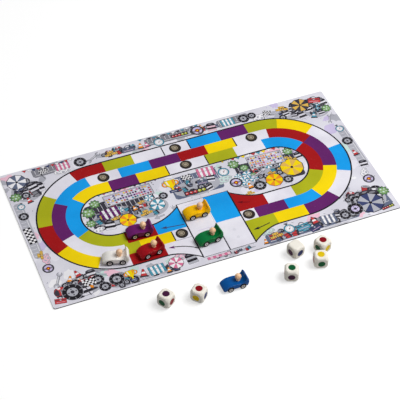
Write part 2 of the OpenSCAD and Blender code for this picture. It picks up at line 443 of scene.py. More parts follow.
def chequers(pen, columns, rows, cell, x=0.0, y=0.0, wave=0.0):
    def corner(i, j):
        ripple = wave * math.sin(i * math.tau / columns)
        return (x + (i - columns / 2) * cell, y + (j - rows / 2) * cell + ripple)
    edge = [corner(i, 0) for i in range(columns + 1)] + [corner(i, rows) for i in range(columns, -1, -1)]
    pen(edge, "paper", 0.6 / pen.size)
    for i in range(columns):
        for j in range(i % 2, rows, 2):
            pen([corner(i, j), corner(i + 1, j), corner(i + 1, j + 1), corner(i, j + 1)], "dark")


def flag(pen):
    pen(bar(1.4, 40, -11, -8), "coal", 0.3)
    chequers(pen, 6, 4, 4.2, 2, 3, 1.6)


def trophy(pen):
    for side in (-1, 1):
        pen(disc(5, side * 8, 6, 18), "orange", 0.5)
        pen(disc(2.8, side * 8, 6, 14), "ground")
    cup = [(1.6, -8), (1.6, -3), (4.6, 0), (7.4, 5), (8, 13)]
    pen([(-x, y) for x, y in reversed(cup)] + cup, "yellow", 0.6)
    pen([(-5.8, 12), (-5.2, 6), (-3, 2), (-2.4, 2.4), (-3.4, 6), (-3.6, 12)], "paper")
    pen([(3.4, 12), (3.6, 5), (2.4, 1), (4, 2.4), (6, 6), (6.6, 12)], "orange")
    pen(bar(13, 5, 0, -10.6), "navy", 0.5)
    pen(bar(8, 1.4, 0, -10.6), "steel")


def spanner(pen):
    pen(bar(26, 3.6), "steel", 0.6)
    pen(bar(22, 0.9, 0, 0.8), "paper")
    for side in (-1, 1):
        pen(disc(4.8, side * 14, 0, 18), "steel", 0.6)
        pen([(side * 14, -1.8), (side * 20, -2.4), (side * 20, 2.4), (side * 14, 1.8)], "ground")


def stopwatch(pen):
    pen(bar(3.4, 6, 0, 11.6), "coal", 0.4)
    pen(bar(7, 2.4, 0, 14.6), "grey", 0.4)
    pen(disc(10.4), "teal", 0.6)
    pen(disc(8), "paper", 0.4)
    for a in turns(12):
        pen(disc(0.6, *polar(6.4, a), 6), "dark")
    pen([(-0.6, -1.6), (0.6, -1.6), (4.4, 4.6), (3.8, 5.0)], "red")
    pen(disc(1.2, n=10), "dark")


def steering(pen):
    pen(disc(11, n=28), "coal", 0.6)
    pen(disc(8.4, n=24), "lilac", 0.3)
    pen(bar(18, 3), "grey", 0.4)
    pen(bar(3, 9, 0, -4.6), "grey", 0.4)
    pen(disc(3.6, n=16), "red", 0.5)
    pen(disc(1.6, n=12), "yellow")


def shadeTree(pen):
    pen([polar(10 + 1.8 * math.cos(9 * a), a) for a in turns(54)], "leaf", 0.7)
    for x, y, r in ((-3, 4, 3.8), (3.6, 3, 3.2), (0, -3.4, 4.2), (-5.4, -2.6, 2.4), (5.8, -2.4, 2.2)):
        pen(disc(r, x, y, 14), "moss")
        pen(disc(r * 0.5, x - 0.5, y + 0.6, 10), "mint")


def awning(pen, ink):
    stripes, w, h = 7, 38, 24
    step = w / stripes
    middles = [-w / 2 + step * (k + 0.5) for k in range(stripes)]
    pen(bar(w, h), "paper", 0.7)
    for x in middles[::2]:
        pen(bar(step, h, x), ink)
    pen(bar(w, 1.2, 0, 2), "grey")
    for k, x in enumerate(middles):
        pen(disc(step / 2 - 0.2, x, -h / 2, 12), "paper" if k % 2 else ink, 0.35)


def parasol(pen, inkA="teal", inkB="paper"):
    rim = disc(12, n=10)
    pen(rim, inkB, 0.8)
    for k in range(0, len(rim), 2):
        pen([(0, 0), rim[k], rim[k + 1]], inkA)
    pen(disc(1.6, n=10), "dark")


def grandstand(pen, rows, seats, cell, seed):
    draw = random.Random(seed)
    coats = ["yellow", "orange", "brick", "teal", "purple", "coal", "straw", "navy", "paper", "pink"]
    w, h = seats * cell, rows * cell * 1.15
    pen(bar(w + 4, h + 4), "steel", 0.7)
    for j in range(rows):
        level = -h / 2 + (j + 0.5) * h / rows
        pen(bar(w, h / rows - 0.8, 0, level), "lilac" if j % 2 else "ground")
        for i in range(seats):
            if draw.random() < 0.86:
                ink = draw.choice(coats)
                x = -w / 2 + (i + 0.5) * cell + draw.uniform(-0.5, 0.5)
                pen(disc(cell * 0.36, x, level + draw.uniform(-0.3, 0.3), 9), ink, 0.3)


def bales(pen):
    for x, y in ((-8, -3.4), (8, -3.4), (0, 4.4)):
        pen(bar(14, 6.8, x, y), "straw", 0.5)
        for side in (-3.4, 3.4):
            pen(bar(0.9, 6.8, x + side, y), "coal")
        pen(bar(5, 0.7, x, y + 1.4), "yellow")
        pen(bar(4, 0.7, x, y - 1.4), "orange")


def toolbox(pen, ink="brick"):
    pen(disc(6, 0, 6, 20), "coal")
    pen(disc(4.4, 0, 6, 16), "ground")
    pen(bar(26, 14, 0, -1), ink, 0.6)
    pen(bar(26, 2, 0, 2), "coal")
    pen(bar(4, 3.4, 0, 2), "steel", 0.3)
    pen(bar(20, 1, 0, -4), "rose")


def lamps(pen):
    pen(bar(44, 11), "coal", 0.6)
    for k in range(5):
        pen(disc(3.6, k * 8.4 - 16.8, 0, 16), "brick" if k < 3 else "lime", 0.4)
        pen(disc(1.2, k * 8.4 - 17.6, 0.9, 8), "paper")


def drum(pen, ink):
    pen([(-7, -8), (-5, -10), (5, -10), (7, -8), (7, 9), (-7, 9)], ink, 0.6)
    pen([(2.6, -9.6), (5, -9.6), (7, -8), (7, 9), (2.6, 9)], "coal")
    for level in (-4, 3):
        pen(bar(14.6, 1.3, 0, level), "dark")
    pen(disc(7, 0, 9, 20, 0.4), "steel", 0.5)
    pen(disc(4.8, 0, 9, 16, 0.4), "grey")


def helmet(pen, ink):
    pen([polar(10, math.radians(a)) for a in range(-38, 219, 12)], ink, 0.7)
    pen([(-9, -4), (-10, 1), (-9, 4), (-4, 8.6), (-2, 4), (-3, -2), (-5, -5.6)], "coal")
    pen([(9.6, 2.4), (1, 3.4), (0, -2.6), (8.6, -4.6)], "dark", 0.5, "steel")
    pen([(8.6, 1.6), (4.6, 2.1), (4.2, 0.4), (8.8, -0.4)], "slate")
    pen([(-3, 9.2), (3, 9.2), (2.2, 5.8), (-1.4, 5.8)], "paper")


def speedLines(pen, seed):
    draw = random.Random(seed)
    for k in range(9):
        length = draw.uniform(12, 44)
        line = bar(length, draw.uniform(0.5, 1.2), draw.uniform(-8, 8), k * 1.9 - 8)
        pen(line, draw.choice(["coal", "grey", "steel", "slate"]))


def puffs(pen, ink="paper"):
    lobes = ((-9, -1, 4.6), (-3.6, 2.4, 5.6), (3.4, 1.4, 5.2), (9, -1.2, 3.8), (0.4, -2.4, 4.8))
    for x, y, r in lobes:
        pen(disc(r + 0.7, x, y, 18), "grey")
    for x, y, r in lobes:
        pen(disc(r, x, y, 18), ink)
        pen(disc(r * 0.55, x + 0.6, y - 0.8, 12), "steel")


def paving(pen, w, h, ink="grey"):
    x, y, cut = w / 2, h / 2, 4
    pen([(cut - x, -y), (x - cut, -y), (x, cut - y), (x, y - cut),
         (x - cut, y), (cut - x, y), (-x, y - cut), (-x, cut - y)], ink)
    for k in range(w // 9):
        pen(bar(0.8, h * 0.55, -x + 7 + 9 * k, h * 0.16), "white")
    pen(bar(w - 10, 0.9, 0, -h * 0.28), "paper")


def heap(x, y, w, h, count, kinds, seed, low=0.5, high=1.1):  # overlapping gear, the nearer pieces on top
    draw, goldenTurn, spots = random.Random(seed), 2.39996, []
    for k in range(count):
        a, r = k * goldenTurn + draw.uniform(-0.3, 0.3), math.sqrt((k + 0.5) / count)
        spots.append((y + r * math.sin(a) * h / 2, x + r * math.cos(a) * w / 2))
    penAt(x, y - h * 0.12)(disc(w * 0.56, n=30, squash=h / w), "steel")
    for py, px in sorted(spots, reverse=True):
        kind = draw.choice(kinds)
        size, turn = draw.uniform(low, high), draw.uniform(-22, 22)
        inked = kind in (drum, helmet, toolbox)
        extra = [draw.choice(["teal", "slate", "brick", "navy", "grey"])] if inked else []
        penAt(px, py - 8 * size)(disc(9 * size, n=16, squash=0.3), "coal")
        kind(penAt(px, py, size, turn), *extra)


def arrow(pen, ink):
    pen([(-12, -2), (2, -2), (2, -6), (12, 0), (2, 6), (2, 2), (-12, 2)], ink, 0.4, "grey")


def sweptArrow(tip, bend, tail, ink, headInk):  # long thin arrow that follows a lane
    steps, headLength, headShare = 12, 13, 0.28
    tip, bend, tail = Vector(tip), Vector(bend), Vector(tail)
    line, left, right = [], [], []
    for k in range(steps + 1):
        t = k / steps
        line.append(tip * (1 - t) ** 2 + bend * 2 * t * (1 - t) + tail * t ** 2)
    for k in range(2, steps + 1):
        run = (line[min(k + 1, steps)] - line[k - 1]).normalized()
        side = Vector((-run.y, run.x))
        left.append(line[k] + side)
        right.append(line[k] - side)
    onBoard(left + right[::-1], ink)
    back = (line[3] - tip).normalized() * headLength
    side = Vector((-back.y, back.x)) * headShare
    onBoard([tip, tip + back + side, tip + back * 0.8, tip + back - side], headInk)


# three lanes of colour fields round an oval: where on the top, left, bottom or right each field starts
track = {
    "midY": 5.5, "leftX": -176.0, "rightX": 175.0, "radii": (138.0, 111.0, 84.5, 57.5), "line": 3.1,
    "step": 4.0, "gapLeft": -52.0, "gapRight": 53.0, "flareReach": 60.0, "flareWidth": 27.0, "barHalf": 1.2,
    "lanes": [
        [("T", 31, "white"), ("T", -24, "white"), ("T", -87, "lime"), ("T", -147, "red"),
         ("L", 106.6, "white"), ("L", 138.6, "lime"), ("L", 174.2, "red"), ("L", 206.6, "yellow"),
         ("L", 242.3, "white"), ("B", -178, "red"), ("B", -110, "white"), ("B", -52, None),
         ("B", 53, "lime"), ("B", 112, "yellow"), ("B", 175, "purple"), ("R", -58.5, "white"),
         ("R", -26, "sky"), ("R", 7, "white"), ("R", 37.9, "yellow"), ("R", 69.3, "lime"),
         ("T", 155, "purple"), ("T", 96, "sky")],
        [("T", 0, "purple"), ("T", -60, "sky"), ("T", -124, "white"), ("L", 97.7, "sky"),
         ("L", 144.5, "purple"), ("L", 198.3, "white"), ("B", -178, "lime"), ("B", -149, "yellow"),
         ("B", -85, "white"), ("B", -52, None), ("B", 53, "white"), ("B", 83, "purple"), ("B", 145, "sky"),
         ("R", -67.7, "yellow"), ("R", -19, "purple"), ("R", 33, "red"), ("R", 81.2, "white"),
         ("T", 119, "yellow"), ("T", 58, "red")],
        [("T", 48, "white"), ("T", -34, "yellow"), ("T", -96, "purple"), ("T", -153, "yellow"),
         ("L", 130.9, "sky"), ("L", 206, "lime"), ("B", -169, "red"), ("B", -110, "sky"), ("B", -52, None),
         ("B", 53, "red"), ("B", 114, "white"), ("B", 172, "lime"), ("R", -28.5, "red"), ("R", 33.8, "sky"),
         ("T", 170, "white"), ("T", 109, "lime")],
    ],
    "bars": [("T", -24, 0), ("T", 31, 0), ("T", -34, 2), ("T", 48, 2), ("B", -85, 1), ("T", 119, 1)],
    "marks": [(2, 130), (-157, 103), (155, 103), (5, 78), (-68, -91.5), (68, -91.5)],
}
radii = track["radii"]
straight = track["rightX"] - track["leftX"]
bend = math.pi * sum(radii) / len(radii)
lap = 2 * (straight + bend)


def station(side, value):  # distance along the middle of the track, from the right end of the back straight
    if side == "T":
        return track["rightX"] - value
    if side == "L":
        return straight + (value - 90) / 180 * bend
    if side == "B":
        return straight + bend + value - track["leftX"]
    return 2 * straight + bend + (value + 90) / 180 * bend


def flare(x):  # how far the outer and inner lane edges open towards the start
    away = max(0.0, track["gapLeft"] - x, x - track["gapRight"])
    return max(0.0, 1 - away / track["flareReach"]) ** 1.8


def trackPoint(s, r):
    s %= lap
    if s < straight:
        return (track["rightX"] - s, track["midY"] + r)
    if s < straight + bend:
        return polar(r, math.radians(90 + (s - straight) / bend * 180), track["leftX"], track["midY"])
    if s < 2 * straight + bend:
        x = track["leftX"] + s - straight - bend
        opening = track["flareWidth"] * ((r > radii[1]) - (r < radii[2]))
        return (x, track["midY"] - r - opening * flare(x))
    angle = -90 + (s - 2 * straight - bend) / bend * 180
    return polar(r, math.radians(angle), track["rightX"], track["midY"])


def laneStrip(s0, s1, outer, inner):
    count = max(2, math.ceil((s1 - s0) / track["step"]))
    steps = [s0 + (s1 - s0) * k / count for k in range(count + 1)]
    return [trackPoint(s, outer) for s in steps] + [trackPoint(s, inner) for s in reversed(steps)]


def drawTrack():
    openFrom, openTo = station("B", track["gapRight"]), station("B", track["gapLeft"]) + lap
    onBoard(laneStrip(openFrom, openTo, radii[0] + track["line"], radii[3] - track["line"]), "dark")
    for lane, fields in enumerate(track["lanes"]):
        for (side, value, ink), following in zip(fields, fields[1:] + fields[:1]):
            first, last = station(side, value), station(*following[:2])
            last += lap if last < first else 0
            if ink:
                onBoard(laneStrip(first, last, radii[lane], radii[lane + 1]), ink)
    for side, value, lane in track["bars"]:
        s, half = station(side, value), track["barHalf"]
        onBoard(laneStrip(s - half, s + half, radii[lane] - 1, radii[lane + 1] + 1), "dark")


def drawStart():
    onBoard([(-52, -162), (53.5, -162), (53.5, -19), (-52, -19)], "white", 1.0)
    onBoard([(2, -90), (52.6, -90), (52.6, -19), (2, -19)], "sky")
    onBoard(bar(2.2, 72, 1.2, -126), "coal")
    for x in (-52, 53):
        onBoard(bar(2.6, 143, x, -90.5), "dark")
    onBoard(bar(32, 1.0, -69, -105.5), "grey")
    for y in (-26, -61, -96, -131):
        onBoard(bar(34, 0.9, -20, y), "lilac")
    for y in (-118, -138):
        onBoard(disc(3.2, 27, y, 14), "ground")
    for k in range(8):  # striped kerb before the start
        onBoard(bar(5.6, 6.0, -44 + 5.6 * k, -169), "rose" if k % 2 else "pink", 0.4, "grey")


def drawMarks():  # round marks and arrows on the lanes
    for x, y in track["marks"]:
        pen = penAt(x, y)
        pen(disc(11.7, n=28), "dark", 0.4, "grey")
        pen(disc(9.4, -0.3, 0.4, 24), "umber")
        pen(disc(6.0, -0.4, 0.8, 20), "sand")
        pen(disc(4.3, -0.4, 0.8, 18), "umber")
        pen(disc(3.2, -0.4, 0.8, 14), "sand")
        pen([(-7.8, 3.2), (-5.2, 6.8), (-1.6, 8.4), (-2.0, 7.4), (-4.8, 5.8), (-6.8, 2.8)], "sand")
    sweptArrow((-101, -65), (-80, -69), (-55, -71), "navy", "navy")
    sweptArrow((-105, -117), (-71, -120), (-51, -139), "dark", "purple")
    sweptArrow((60, -132), (75, -131), (96, -126), "dark", "dark")
    sweptArrow((58, -53), (66, -57), (82, -62), "wine", "wine")


def drawGround(seed):  # faint tints of dust and paving under the motifs
    draw = random.Random(seed)
    for k in range(150):
        x, y = draw.uniform(-345, 345), draw.uniform(-180, 180)
        r = draw.uniform(6, 20)
        shape = [polar(r * draw.uniform(0.7, 1.15), a, squash=0.7) for a in turns(16)]
        pen = penAt(x, y, 1, draw.uniform(0, 180))
        pen(shape, draw.choice(["paper", "lilac", "mint", "white", "rose", "white", "steel"]))
    for k in range(420):
        x, y = draw.uniform(-343, 343), draw.uniform(-178, 178)
        if k % 3:
            mark = bar(draw.uniform(1.5, 5), draw.uniform(0.5, 1.0))
        else:
            mark = disc(draw.uniform(0.6, 1.5), n=8)
        pen = penAt(x, y, 1, draw.uniform(0, 180))
        pen(mark, draw.choice(["grey", "coal", "steel", "slate", "steel", "lilac"]))


# each entry: motif, place, size, turn and what the motif takes besides
under = [
    (paving, -246, 163, 1, 2, 76, 24), (paving, 10, 164, 1, -1, 118, 22), (paving, 140, 163, 1, 1, 70, 22),
    (paving, 333, 10, 1, 90, 120, 18, "steel"), (paving, -333, 20, 1, 90, 150, 18, "steel"),
    (paving, -150, 8, 1, 4, 136, 70, "coal"), (paving, 152, 4, 1, -3, 128, 66, "coal"),
    (paving, 4, 22, 1, 0, 100, 58, "slate"), (speedLines, -160, -172, 1.5, 0, 2),
    (speedLines, 210, -172, 1.4, 2, 5), (speedLines, -250, -128, 1.2, -24, 8),
    (speedLines, 238, 146, 1.4, -8, 11), (speedLines, -66, 152, 1.2, 0, 14),
    (speedLines, 262, -116, 1.2, 36, 17), (paving, 300, 146, 1, -4, 72, 44, "coal"),
    (paving, 168, -163, 1, 1, 190, 24, "slate"), (paving, 304, -146, 1, 6, 62, 46, "slate"),
    (speedLines, 2, -171, 1.3, 1, 23), (puffs, -226, 150, 1.2, 0), (puffs, 196, 152, 1.2, 10),
    (puffs, -322, -60, 1, 80, "rose"), (puffs, 322, -70, 1, 70), (puffs, 84, -146, 1, 12, "mint"),
    (puffs, -90, -146, 1.1, -6, "rose"), (puffs, -40, 44, 1.3, 0), (puffs, 60, 12, 1.2, 20, "mint"),
    (puffs, -210, -28, 1, 30),
]
border = [
    (parasol, -318, 152, 1.6, 10, "slate"), (shadeTree, -331, 112, 1, 0), (tyreStack, -292, 128, 0.95, 14),
    (cone, -309, 96, 0.95, 12, "brick"), (flag, -262, 160, 0.62, 18),
    (awning, -222, 163, 0.72, 0, "pink"), (tyre, -186, 161, 1.25, 20), (spanner, -158, 163, 0.95, 32),
    (bales, -122, 162, 0.85, 4), (toolbox, -86, 161, 0.95, 0, "slate"), (cone, -60, 161, 1, -8),
    (cone, -47, 160, 0.9, 6, "pink"), (stopwatch, -22, 158, 1, -10), (lamps, 24, 163, 0.8, 0),
    (steering, 62, 162, 1.15, 12), (tyreStack, 92, 160, 0.9, -6, "rose"),
    (awning, 128, 163, 0.72, 0, "teal"), (tyre, 162, 161, 1.2, 0), (tyre, 181, 163, 0.9, 24),
    (flag, 212, 158, 0.62, -14), (bales, 246, 160, 0.85, -10),
    (parasol, 286, 156, 1.5, 0, "coal", "straw"), (toolbox, 319, 160, 0.95, -16),
    (shadeTree, 332, 128, 0.9, 0), (cone, 300, 118, 1, -18, "teal"), (spanner, 325, 96, 0.7, 70),
    (stopwatch, 331, 62, 0.8, 12), (tyre, 330, 24, 1.1, 8), (cone, 329, -12, 1, 6, "brick"),
    (tyreStack, 331, -48, 0.8, -4), (steering, 322, -88, 1, 20), (shadeTree, 333, -128, 1, 0),
    (parasol, 296, -148, 2.1, 6, "navy", "steel"), (tyre, 262, -152, 1.5, 12, "lilac"),
    (tyre, 237, -160, 1.1, 30), (lamps, 322, -170, 0.6, 8), (awning, 203, -157, 0.8, -3, "slate"),
    (cone, 176, -152, 1.2, 8, "brick"), (toolbox, 150, -158, 1, 6, "teal"), (stopwatch, 124, -154, 1, 8),
    (bales, 94, -160, 0.85, 6), (cone, 70, -168, 0.8, -6), (tyreStack, -74, -158, 1, 4, "steel"),
    (parasol, -104, -156, 1.15, 12, "pink"), (awning, -142, -158, 0.8, 4, "teal"),
    (cone, -168, -158, 1.15, -10, "brick"), (trophy, -190, -156, 1, 4), (tyre, -218, -154, 1.4, 0),
    (tyre, -243, -163, 1.1, 18), (flag, -268, -146, 0.9, 12), (tyre, -302, -154, 1.9, 6),
    (spanner, -318, -118, 1, 62), (toolbox, -328, -166, 0.8, -10), (cone, -281, -116, 1.1, 16, "brick"),
    (steering, -326, -84, 0.95, 0), (bales, -330, -48, 0.7, 80), (tyre, -331, 58, 1, 14),
    (stopwatch, -328, 84, 0.7, -14),
]
infield = [
    (shadeTree, -214, 22, 1.15, 0), (shadeTree, -196, 40, 0.95, 30), (shadeTree, -218, -6, 0.85, 10),
    (awning, -176, 8, 0.95, 6, "purple"), (parasol, -150, -22, 1.35, 0, "yellow", "orange"),
    (tyreStack, -186, -24, 0.95, -8), (bales, -112, -16, 0.8, 10), (parasol, -84, -4, 1.2, 14, "teal"),
    (cone, -128, 2, 0.8, 8), (cone, -116, 4, 0.7, -8, "brick"), (tyre, -66, 14, 0.9, 0),
    (trophy, -42, 32, 1.3, 0), (flag, -8, 42, 0.75, 8), (awning, 34, 46, 0.9, -4, "pink"),
    (stopwatch, 66, 32, 1.05, 6), (toolbox, 18, 22, 0.8, -4, "slate"), (shadeTree, 92, 44, 1, 14),
    (shadeTree, 108, 28, 0.8, 40), (parasol, 196, -4, 1.9, 8, "yellow", "straw"),
    (parasol, 150, -24, 1.4, 0, "orange", "yellow"), (tyre, 176, -32, 1, 12), (tyre, 118, -28, 1.25, 0),
    (tyreStack, 222, 20, 0.8, 6), (cone, 100, -22, 1, 4), (steering, 78, -4, 1.1, 0),
    (bales, 92, -40, 0.6, 0), (shadeTree, 206, 40, 0.9, 20), (lamps, -4, 2, 1, 0),
    (spanner, 128, 4, 0.9, 24), (arrow, -92, -36, 0.9, 190, "steel"),
]
# each heap: middle, width and height, count, kinds, seed, smallest and largest size
heaps = [
    (-306, 128, 54, 52, 15, [tyre, tyre, drum, helmet, tyreStack], 3),
    (-284, -142, 78, 44, 18, [tyre, tyre, tyreStack, helmet, cone], 7, 0.6, 1.3),
    (-206, -161, 54, 22, 8, [tyre, tyre, drum], 12, 0.6, 0.95),
    (-126, -163, 60, 16, 7, [tyreStack, drum, helmet, cone], 15, 0.6, 0.9),
    (292, -134, 70, 52, 18, [tyre, tyre, tyreStack, drum, helmet], 21, 0.6, 1.4),
    (176, -160, 62, 20, 9, [drum, toolbox, tyre, helmet], 25, 0.6, 0.95),
    (112, -162, 54, 18, 8, [drum, toolbox, cone, tyre], 28, 0.6, 0.9),
    (272, 142, 92, 34, 17, [tyre, tyre, tyreStack, drum, toolbox], 31, 0.55, 1.0),
    (-112, 164, 74, 14, 9, [tyre, tyre, drum, helmet], 36, 0.5, 0.75),
    (312, 140, 50, 46, 12, [tyre, tyre, tyreStack, helmet], 61, 0.6, 1.0),
    (2, -171, 84, 6, 9, [tyre, drum, helmet, tyre], 65, 0.3, 0.42),
    (232, -158, 60, 22, 9, [tyre, tyreStack, drum, tyre], 68, 0.6, 0.95),
    (74, 164, 64, 13, 8, [tyre, drum, toolbox, cone], 40, 0.5, 0.75),
    (-170, 2, 74, 40, 14, [parasol, tyre, drum, bales, helmet], 44, 0.5, 0.95),
    (-100, -2, 64, 44, 13, [tyre, helmet, drum, bales, parasol], 48, 0.5, 0.9),
    (112, 2, 66, 44, 14, [tyre, drum, shadeTree, helmet, parasol], 52, 0.5, 0.95),
    (178, 6, 70, 44, 14, [bales, parasol, tyre, drum, bales], 57, 0.55, 1.0),
    (4, 18, 84, 40, 12, [tyre, drum, helmet, tyreStack], 72, 0.5, 0.85),
]


def drawList(entries):
    for kind, x, y, size, turn, *extra in entries:
        kind(penAt(x, y, size, turn), *extra)


def drawMotifs():
    drawList(under)
    for settings in heaps:
        heap(*settings)
    drawList(border + infield)
    grandstand(penAt(-128, 40, 1, 2), 4, 17, 5.4, 5)
    grandstand(penAt(156, 34, 1, -3), 5, 13, 5.2, 9)
    chequers(penAt(-334, 6, 1, 4), 3, 9, 4.6)
    pennants(-228, 64, -60, 64, 16, ["teal", "pink", "paper", "purple"], 1.5, 6)
    pennants(70, 63, 222, 60, 14, ["yellow", "paper", "brick", "teal"], 2.0, 6)
    pennants(-300, 178, -196, 178, 11, ["brick", "paper", "navy"], 3.0, 6)
    pennants(-60, 179, 70, 179, 13, ["teal", "paper", "coal"], 3.0, 5)


drawGround(4)
drawMotifs()
drawTrack()
drawStart()
drawMarks()
print("printed shapes drawn:", len(art))


def meshFrom(work, name):
    mesh = bpy.data.meshes.new(name)
    work.to_mesh(mesh)
    work.free()
    return mesh


def addObject(name, data, finishes=()):
    added = bpy.data.objects.new(name, data)
    bpy.context.scene.collection.objects.link(added)
    for finish in finishes:
        data.materials.append(finish)
    return added


def evaluatedMesh(thing):  # the mesh that the modifiers make
    bpy.context.view_layer.update()
    return bpy.data.meshes.new_from_object(thing.evaluated_get(bpy.context.evaluated_depsgraph_get()))


def refinish(node, finish):  # new material on a CAD piece
    for slot in frame["nodes"][node].material_slots:
        slot.material = finish


def settle(piece, body, node):  # joins a piece to its body and to the CAD node it stands for
    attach(piece, body)
    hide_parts(node)


board = {
    "cornerRadius": 4.0, "cornerSteps": 8, "creaseHalf": 0.12, "stripHalf": 5.0, "bendHalf": 0.6,
    "bendSteps": 4, "creaseDip": 0.1, "hingeHalf": 0.9, "hingeSteps": 6, "hingeShoulder": 2.5,
}
boardLow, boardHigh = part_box("left_front_core")[0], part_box("right_back_core")[1]
boardMid = (boardLow + boardHigh) / 2
halfL, halfW = (boardHigh.x - boardLow.x) / 2 / mm, (boardHigh.y - boardLow.y) / 2 / mm
sheetLow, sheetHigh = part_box("left_front_print")


def extent(points):
    xs, ys = zip(*points)
    return min(xs), min(ys), max(xs), max(ys)


def overlaps(points, box):
    left, low, right, high = extent(points)
    return right > box[0] and left < box[2] and high > box[1] and low < box[3]


def inkSheet(name, outline, finish, foldLines=()):  # one flat sheet, cut along the printed edges
    box = extent(outline)
    shapes = [(outline, "ground")] + [shape for shape in art if overlaps(shape[0], box)]
    corners, faces, edges = [], [], []
    for points, ink in shapes:
        faces.append(list(range(len(corners), len(corners) + len(points))))
        corners.extend(Vector(p) for p in points)
    for y in foldLines:
        edges.append((len(corners), len(corners) + 1))
        corners.extend((Vector((box[0], y)), Vector((box[2], y))))
    cut = delaunay_2d_cdt(corners, edges, faces, 1, 1e-4, True)
    flat, cells, owners = cut[0], cut[2], cut[5]
    kept = [(cell, max(own)) for cell, own in zip(cells, owners) if 0 in own]
    sides = {}
    for cell, owner in kept:
        for a, b in zip(cell, cell[1:] + cell[:1]):
            if sides.pop((b, a), None) is None:
                sides[(a, b)] = True
    after = dict(sides.keys())
    first = next(iter(after))
    rim = [first]
    while after[rim[-1]] != first:
        rim.append(after[rim[-1]])
    work = bmesh.new()
    inkLayer = work.loops.layers.float_color.new("ink")

    def lift(k, z):
        dip = board["creaseDip"] * max(0.0, 1 - abs(flat[k].y) / board["bendHalf"]) if foldLines else 0.0
        return work.verts.new((flat[k].x * mm + boardMid.x, flat[k].y * mm + boardMid.y, z - dip * mm))

    def fill(corners, ink):
        for loop in work.faces.new(corners).loops:
            loop[inkLayer] = inkValues[ink]
    used = sorted({k for cell, owner in kept for k in cell})
    tops = {k: lift(k, sheetHigh.z) for k in used}
    lows = {k: lift(k, sheetLow.z) for k in (used if foldLines else rim)}
    for cell, owner in kept:
        fill([tops[k] for k in cell], shapes[owner][1])
        if foldLines:
            fill([lows[k] for k in reversed(cell)], "paper")
    if not foldLines:
        fill([lows[k] for k in reversed(rim)], "paper")
    for a, b in zip(rim, rim[1:] + rim[:1]):
        fill([tops[b], tops[a], lows[a], lows[b]], "paper")
    work.normal_update()
    return addObject(name, meshFrom(work, name), [finish])


def quarterOutline(sx, sy):
    r, near, steps = board["cornerRadius"], board["creaseHalf"], board["cornerSteps"]
    points = [(near, board["stripHalf"]), (halfL, board["stripHalf"])]
    points += [polar(r, k * math.pi / 2 / steps, halfL - r, halfW - r) for k in range(steps + 1)]
    points.append((near, halfW))
    mirrored = [(sx * x, sy * y) for x, y in points]
    return mirrored if sx * sy > 0 else mirrored[::-1]


panels = {"left_front": (-1, -1), "right_front": (1, -1), "left_back": (-1, 1), "right_back": (1, 1)}
for panel, sides in panels.items():
    sheet = inkSheet(panel + "_sheet", quarterOutline(*sides), printFinish)
    settle(sheet, panel, panel + "_print")
    print("print sheet:", panel, len(sheet.data.polygons), "faces")
    refinish(panel + "_core", paintedShadeCoreFinish)
    refinish(panel + "_backing", backingFinish)

bendSteps = board["bendSteps"]
creases = [k * board["bendHalf"] / bendSteps for k in range(-bendSteps, bendSteps + 1)]
for side, sx in (("left", -1), ("right", 1)):
    left, right = sorted((sx * board["creaseHalf"], sx * halfL))
    h, reach = board["stripHalf"], board["bendHalf"] * mm
    outline = [(left, -h), (right, -h), (right, h), (left, h)]
    strip = inkSheet(side + "_crease_linen", outline, stripFinish, creases)
    start, end = (0, boardMid.y - reach, sheetHigh.z), (0, boardMid.y + reach, sheetHigh.z)
    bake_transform(strip)
    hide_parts(side + "_strip")


def clothStrip(name, low, high):  # underside linen, finely divided where it bends
    count, shoulder = board["hingeSteps"], board["hingeShoulder"] * mm
    bends = [k * board["hingeHalf"] / count * mm for k in range(-count, count + 1)]
    steps = sorted({low.x, high.x, *bends, -shoulder, shoulder})
    work = bmesh.new()
    rows = []
    for y in (low.y, (low.y + high.y) / 2, high.y):
        rows.append([[work.verts.new((x, y, z)) for x in steps] for z in (low.z, high.z)])
    for a, b in zip(rows, rows[1:]):
        for k in range(len(steps) - 1):
            work.faces.new([a[1][k], a[1][k + 1], b[1][k + 1], b[1][k]])
            work.faces.new([a[0][k], b[0][k], b[0][k + 1], a[0][k + 1]])
        work.faces.new([a[0][0], a[1][0], b[1][0], b[0][0]])
        work.faces.new([a[1][-1], a[0][-1], b[0][-1], b[1][-1]])
    for k in range(len(steps) - 1):
        work.faces.new([rows[0][0][k], rows[0][0][k + 1], rows[0][1][k + 1], rows[0][1][k]])
        work.faces.new([rows[-1][1][k], rows[-1][1][k + 1], rows[-1][0][k + 1], rows[-1][0][k]])
    bmesh.ops.recalc_face_normals(work, faces=work.faces)
    return addObject(name, meshFrom(work, name), [clothFinish])


hingeLow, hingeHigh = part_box("centre_strip")
hinge = clothStrip("centre_crease_linen", hingeLow, hingeHigh)
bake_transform(hinge)
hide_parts("centre_strip")
print("board done")

car = {
    "length": 50.0, "width": 24.0, "belly": 5.0, "hood": 15.5, "tail": 24.0, "noseLength": 17.0,
    "noseDrop": 7.0, "rearRadius": 18.0, "rearHeight": 13.5, "scoopRadius": 13.5, "seat": 14.0,
    "driverBack": 18.0, "planRadius": 3.0, "planFrom": 16.0, "cornerSoftness": 0.6, "edgeRadius": 0.9,
    "edgeSteps": 4, "fineStep": 0.2, "pointStep": 0.75, "rows": (4.0, 8.0, 9.4, 10.4), "cellStep": 1.5,
    "cellReach": 26.0, "wellRadius": 6.8, "wellDepth": 4.7, "rearAxle": 12.5, "wheelbase": 24.0,
    "hubHeight": 6.1, "headRadius": 6.0, "headUp": 9.0, "headSteps": 22, "pegRadius": 4.0, "pegDepth": 7.0,
    "pegRound": 0.5,
}
carHalf = car["length"] / 2
rearX = car["rearAxle"] - carHalf
driverX = car["driverBack"] - carHalf


def arc(x, z, r, start, end, count):
    return [polar(r, start + (end - start) * k / count, x, z) for k in range(count + 1)]


